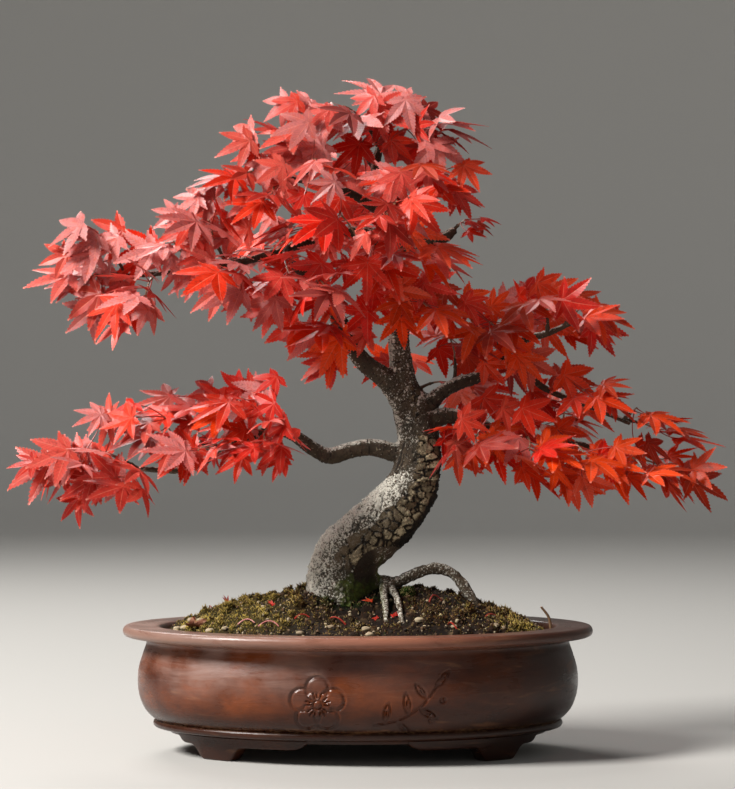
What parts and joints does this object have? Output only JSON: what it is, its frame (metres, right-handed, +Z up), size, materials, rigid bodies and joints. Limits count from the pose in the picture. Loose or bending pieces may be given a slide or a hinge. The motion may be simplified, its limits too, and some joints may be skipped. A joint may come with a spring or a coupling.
{
  "type": "japanese maple bonsai",
  "caption": "Japanese maple bonsai in autumn red, a leaning S-curved tree in an oval brown stoneware pot on bracket feet.",
  "frame": {"origin": "under the middle of the whole, on the surface that the pot stands on", "axes": "+Z up, +X to the right as seen from the front along the pot's length, the front is towards -Y"},
  "size_m": [0.4946, 0.2672, 0.4642],
  "materials": {
    "stoneware": "unglazed, satin, red-brown with mauve and orange clouds",
    "screen_plastic": "matt black",
    "soil": "loose grit and loam with moss",
    "bark": "rough grey bark, cracked and flaking",
    "leaf": "thin satin leaf, red, translucent"
  },
  "bodies": {
    "root": {"drain_screen_left": "screen_plastic", "drain_screen_right": "screen_plastic", "pot": "stoneware", "shoot_back_low_1": "leaf", "shoot_back_low_2": "leaf", "shoot_crown_back_1": "leaf", "shoot_crown_back_2": "leaf", "shoot_crown_front_1": "leaf", "shoot_crown_front_2": "leaf", "shoot_crown_front_3": "leaf", "shoot_crown_left_1": "leaf", "shoot_crown_left_2": "leaf", "shoot_crown_left_3": "leaf", "shoot_crown_left_4": "leaf", "shoot_crown_left_5": "leaf", "shoot_crown_left_6": "leaf", "shoot_crown_left_7": "leaf", "shoot_crown_left_8": "leaf", "shoot_crown_left_9": "leaf", "shoot_crown_right_1": "leaf", "shoot_crown_right_2": "leaf", "shoot_crown_right_3": "leaf", "shoot_crown_top_left_1": "leaf", "shoot_crown_top_left_2": "leaf", "shoot_crown_top_left_3": "leaf", "shoot_crown_top_left_4": "leaf", "shoot_leader_1": "leaf", "shoot_leader_2": "leaf", "shoot_leader_3": "leaf", "shoot_leader_4": "leaf", "shoot_leader_5": "leaf", "shoot_left_fork_1": "leaf", "shoot_left_fork_2": "leaf", "shoot_left_low_1": "leaf", "shoot_left_low_2": "leaf", "shoot_left_low_3": "leaf", "shoot_left_low_4": "leaf", "shoot_left_low_5": "leaf", "shoot_left_low_6": "leaf", "shoot_left_low_7": "leaf", "shoot_left_low_8": "leaf", "shoot_left_low_9": "leaf", "shoot_right_high_1": "leaf", "shoot_right_high_2": "leaf", "shoot_right_high_3": "leaf", "shoot_right_high_4": "leaf", "shoot_right_high_5": "leaf", "shoot_right_high_6": "leaf", "shoot_right_low_1": "leaf", "shoot_right_low_2": "leaf", "shoot_right_low_3": "leaf", "shoot_right_low_4": "leaf", "shoot_right_low_5": "leaf", "shoot_right_middle_1": "leaf", "shoot_right_middle_2": "leaf", "shoot_right_middle_3": "leaf", "shoot_right_middle_4": "leaf", "shoot_spur_1": "leaf", "soil": "soil", "wood": "bark"}
  },
  "joints": []
}
